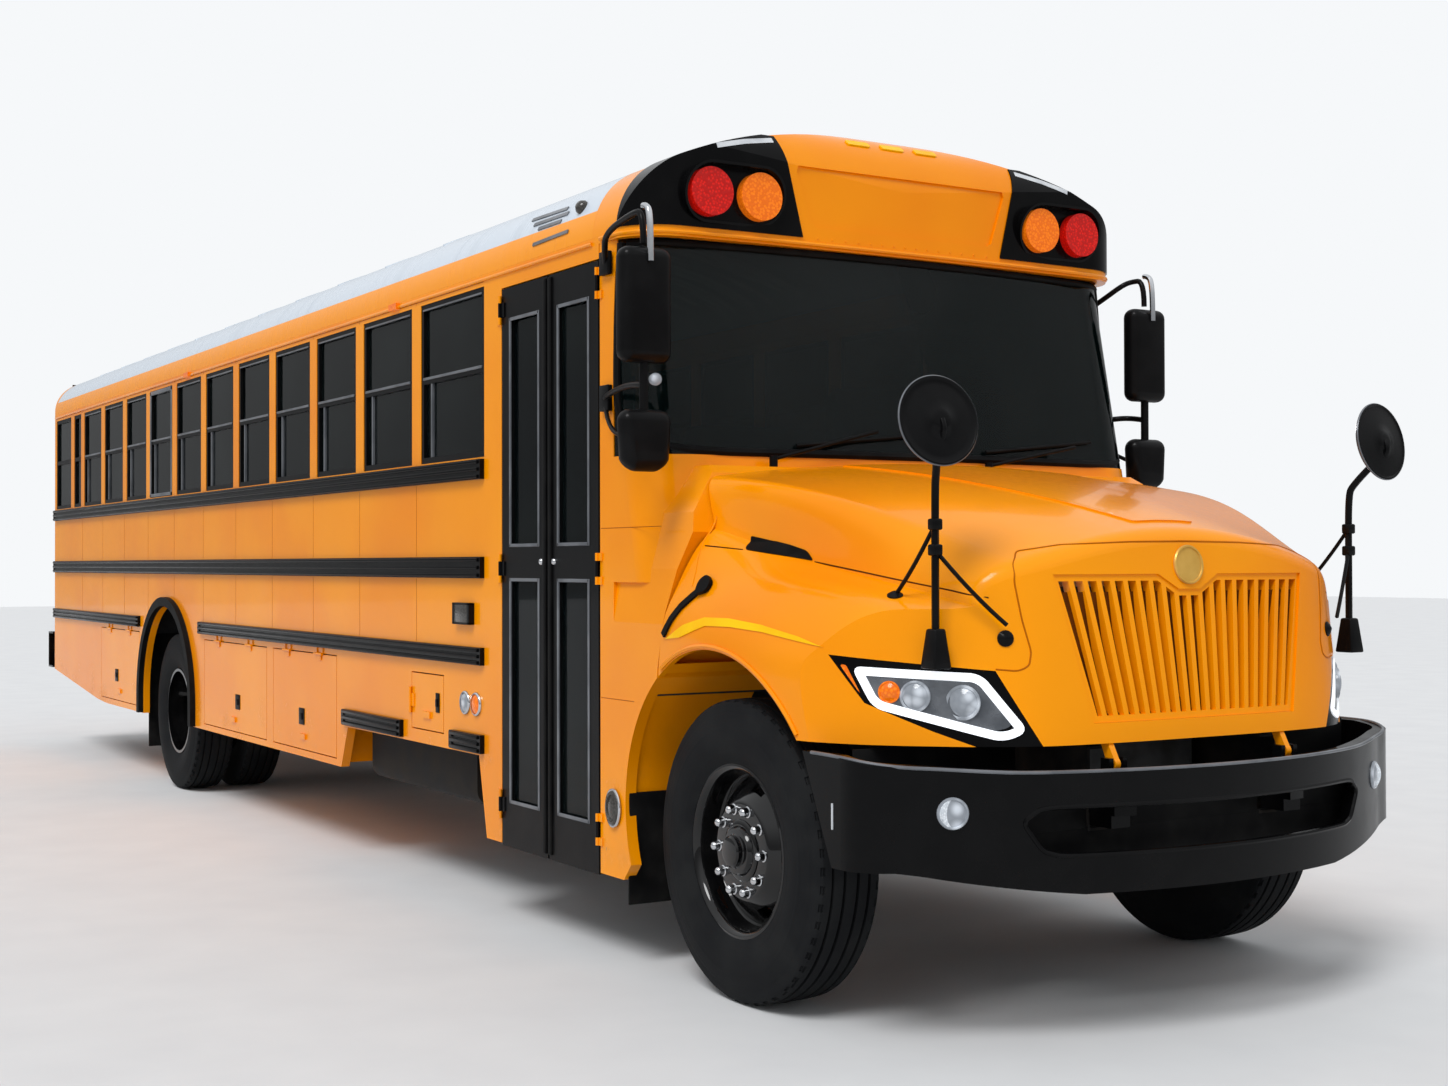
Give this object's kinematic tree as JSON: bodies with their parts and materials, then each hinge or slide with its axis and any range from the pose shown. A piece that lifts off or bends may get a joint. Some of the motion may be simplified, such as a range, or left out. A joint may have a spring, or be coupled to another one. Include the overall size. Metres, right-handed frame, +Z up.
{
  "type": "school bus",
  "caption": "Long-nosed school bus with hollow cabin, tilting hood, folding entrance door, rear emergency door, roof and side hatches, steered front wheels and twin rear wheels.",
  "frame": {"origin": "on the ground below the middle of the overall box", "axes": "+X forward, +Y to the bus's left, +Z up"},
  "size_m": [12.3, 2.9, 3.3044],
  "materials": {
    "yellow_paint": "gloss",
    "white_paint": "gloss",
    "red_paint": "satin",
    "black_trim": "satin",
    "wheel_black": "gloss",
    "chassis_black": "satin",
    "axle_iron": "rough",
    "engine_metal": "rough",
    "exhaust_steel": "brushed",
    "bright_steel": "polished",
    "floor_rubber": "matte",
    "black_rubber": "matte",
    "tyre": "matte",
    "seat_vinyl": "satin",
    "dash_plastic": "matte",
    "clear_glass": "gloss",
    "clear_lens": "gloss",
    "red_lens": "gloss",
    "amber_lens": "gloss"
  },
  "bodies": {
    "bus_body": {"amber_lamps": "amber_lens", "clear_lamps": "clear_lens", "cowl": "yellow_paint", "dashboard": "dash_plastic", "engine": "engine_metal", "exhaust": "exhaust_steel", "flares_and_flaps": "black_rubber", "floor": "floor_rubber", "frame_rails": "chassis_black", "front_axle": "axle_iron", "front_bumper": "black_trim", "front_cap": "yellow_paint", "fuel_tank": "chassis_black", "grab_rails": "bright_steel", "lamp_panels": "black_trim", "luggage_boxes": "chassis_black", "rear_axle": "axle_iron", "rear_bumper": "black_trim", "rear_wall": "yellow_paint", "red_lamps": "red_lens", "roof": "white_paint", "rub_rails": "black_trim", "seat_cushions": "seat_vinyl", "seat_frames": "chassis_black", "side_mirrors": "black_trim", "side_wall_left": "yellow_paint", "side_wall_right": "yellow_paint", "window_frames": "black_trim", "window_glass": "clear_glass", "windshield": "clear_glass", "wipers": "black_trim"},
    "hood": {"hood_shell": "yellow_paint", "grille": "yellow_paint", "headlamps": "clear_lens", "crossview_mirrors": "black_trim"},
    "knuckle_right": {"knuckle_right": "axle_iron"},
    "knuckle_left": {"knuckle_left": "axle_iron"},
    "tie_rod": {"tie_rod": "axle_iron"},
    "wheel_front_right": {"tyre_front_right": "tyre", "rim_front_right": "wheel_black"},
    "wheel_front_left": {"tyre_front_left": "tyre", "rim_front_left": "wheel_black"},
    "wheels_rear_right": {"tyres_rear_right": "tyre", "rims_rear_right": "wheel_black"},
    "wheels_rear_left": {"tyres_rear_left": "tyre", "rims_rear_left": "wheel_black"},
    "door_leaf_rear": {"door_leaf_rear": "black_trim", "door_glass_rear": "clear_glass"},
    "door_leaf_front": {"door_leaf_front": "black_trim", "door_glass_front": "clear_glass"},
    "emergency_door": {"emergency_door": "yellow_paint", "emergency_glass": "clear_glass"},
    "stop_arm": {"stop_arm": "red_paint"},
    "hatch_right_front": {"hatch_right_front": "yellow_paint"},
    "hatch_right_middle": {"hatch_right_middle": "yellow_paint"},
    "hatch_right_rear": {"hatch_right_rear": "yellow_paint"},
    "fuel_door": {"fuel_door": "yellow_paint"},
    "battery_door": {"battery_door": "yellow_paint"},
    "roof_hatch_front": {"roof_hatch_front": "white_paint"},
    "roof_hatch_rear": {"roof_hatch_rear": "white_paint"}
  },
  "joints": [
    {"name": "steer_right", "type": "hinge", "parent": "bus_body", "child": "knuckle_right", "pos_m": [4.95, -0.86, 0.515], "axis": [0, 0, 1], "range_deg": [-40, 40]},
    {"name": "steer_left", "type": "hinge", "parent": "bus_body", "child": "knuckle_left", "pos_m": [4.95, 0.86, 0.515], "axis": [0, 0, 1], "range_deg": [-40, 40]},
    {"name": "tie_rod_pivot", "type": "hinge", "parent": "knuckle_right", "child": "tie_rod", "pos_m": [4.75, -0.86, 0.425], "axis": [0, 0, 1], "range_deg": [-40, 40]},
    {"name": "spin_front_right", "type": "hinge", "parent": "knuckle_right", "child": "wheel_front_right", "pos_m": [4.95, -1.03, 0.526], "axis": [0, 1, 0], "continuous": true},
    {"name": "spin_front_left", "type": "hinge", "parent": "knuckle_left", "child": "wheel_front_left", "pos_m": [4.95, 1.03, 0.526], "axis": [0, 1, 0], "continuous": true},
    {"name": "spin_rear_right", "type": "hinge", "parent": "bus_body", "child": "wheels_rear_right", "pos_m": [-2.27, -0.8625, 0.526], "axis": [0, 1, 0], "continuous": true},
    {"name": "spin_rear_left", "type": "hinge", "parent": "bus_body", "child": "wheels_rear_left", "pos_m": [-2.27, 0.8625, 0.526], "axis": [0, 1, 0], "continuous": true},
    {"name": "hood_tilt", "type": "hinge", "parent": "bus_body", "child": "hood", "pos_m": [6.01, 0, 0.88], "axis": [0, 1, 0], "range_deg": [0, 60]},
    {"name": "door_rear_fold", "type": "hinge", "parent": "bus_body", "child": "door_leaf_rear", "pos_m": [3.175, -1.229, 1.5], "axis": [0, 0, -1], "range_deg": [0, 85]},
    {"name": "door_front_fold", "type": "hinge", "parent": "bus_body", "child": "door_leaf_front", "pos_m": [4.069, -1.229, 1.5], "axis": [0, 0, 1], "range_deg": [0, 85]},
    {"name": "emergency_door_swing", "type": "hinge", "parent": "bus_body", "child": "emergency_door", "pos_m": [-5.989, -0.467, 1.8], "axis": [0, 0, 1], "range_deg": [0, 110]},
    {"name": "stop_arm_swing", "type": "hinge", "parent": "bus_body", "child": "stop_arm", "pos_m": [2.87, 1.272, 1.5], "axis": [0, 0, -1], "range_deg": [0, 90]},
    {"name": "roof_hatch_front_lift", "type": "hinge", "parent": "bus_body", "child": "roof_hatch_front", "pos_m": [0.755, 0, 3.279], "axis": [0, -1, 0], "range_deg": [0, 80]},
    {"name": "roof_hatch_rear_lift", "type": "hinge", "parent": "bus_body", "child": "roof_hatch_rear", "pos_m": [-3.795, 0, 3.279], "axis": [0, -1, 0], "range_deg": [0, 80]},
    {"name": "fuel_door_swing", "type": "hinge", "parent": "bus_body", "child": "fuel_door", "pos_m": [2.153, -1.229, 0.88], "axis": [0, 0, -1], "range_deg": [0, 90]},
    {"name": "battery_door_lift", "type": "hinge", "parent": "bus_body", "child": "battery_door", "pos_m": [2.385, 1.229, 1.011], "axis": [1, 0, 0], "range_deg": [0, 90]},
    {"name": "hatch_right_front_lift", "type": "hinge", "parent": "bus_body", "child": "hatch_right_front", "pos_m": [0.575, -1.229, 1.042], "axis": [-1, 0, 0], "range_deg": [0, 90]},
    {"name": "hatch_right_middle_lift", "type": "hinge", "parent": "bus_body", "child": "hatch_right_middle", "pos_m": [-0.721, -1.229, 1.042], "axis": [-1, 0, 0], "range_deg": [0, 90]},
    {"name": "hatch_right_rear_lift", "type": "hinge", "parent": "bus_body", "child": "hatch_right_rear", "pos_m": [-3.6025, -1.229, 1.042], "axis": [-1, 0, 0], "range_deg": [0, 90]}
  ],
  "couplings": [
    {"joint": "steer_left", "follows": "steer_right", "ratio": 1},
    {"joint": "tie_rod_pivot", "follows": "steer_right", "ratio": -1},
    {"joint": "door_front_fold", "follows": "door_rear_fold", "ratio": 1}
  ]
}
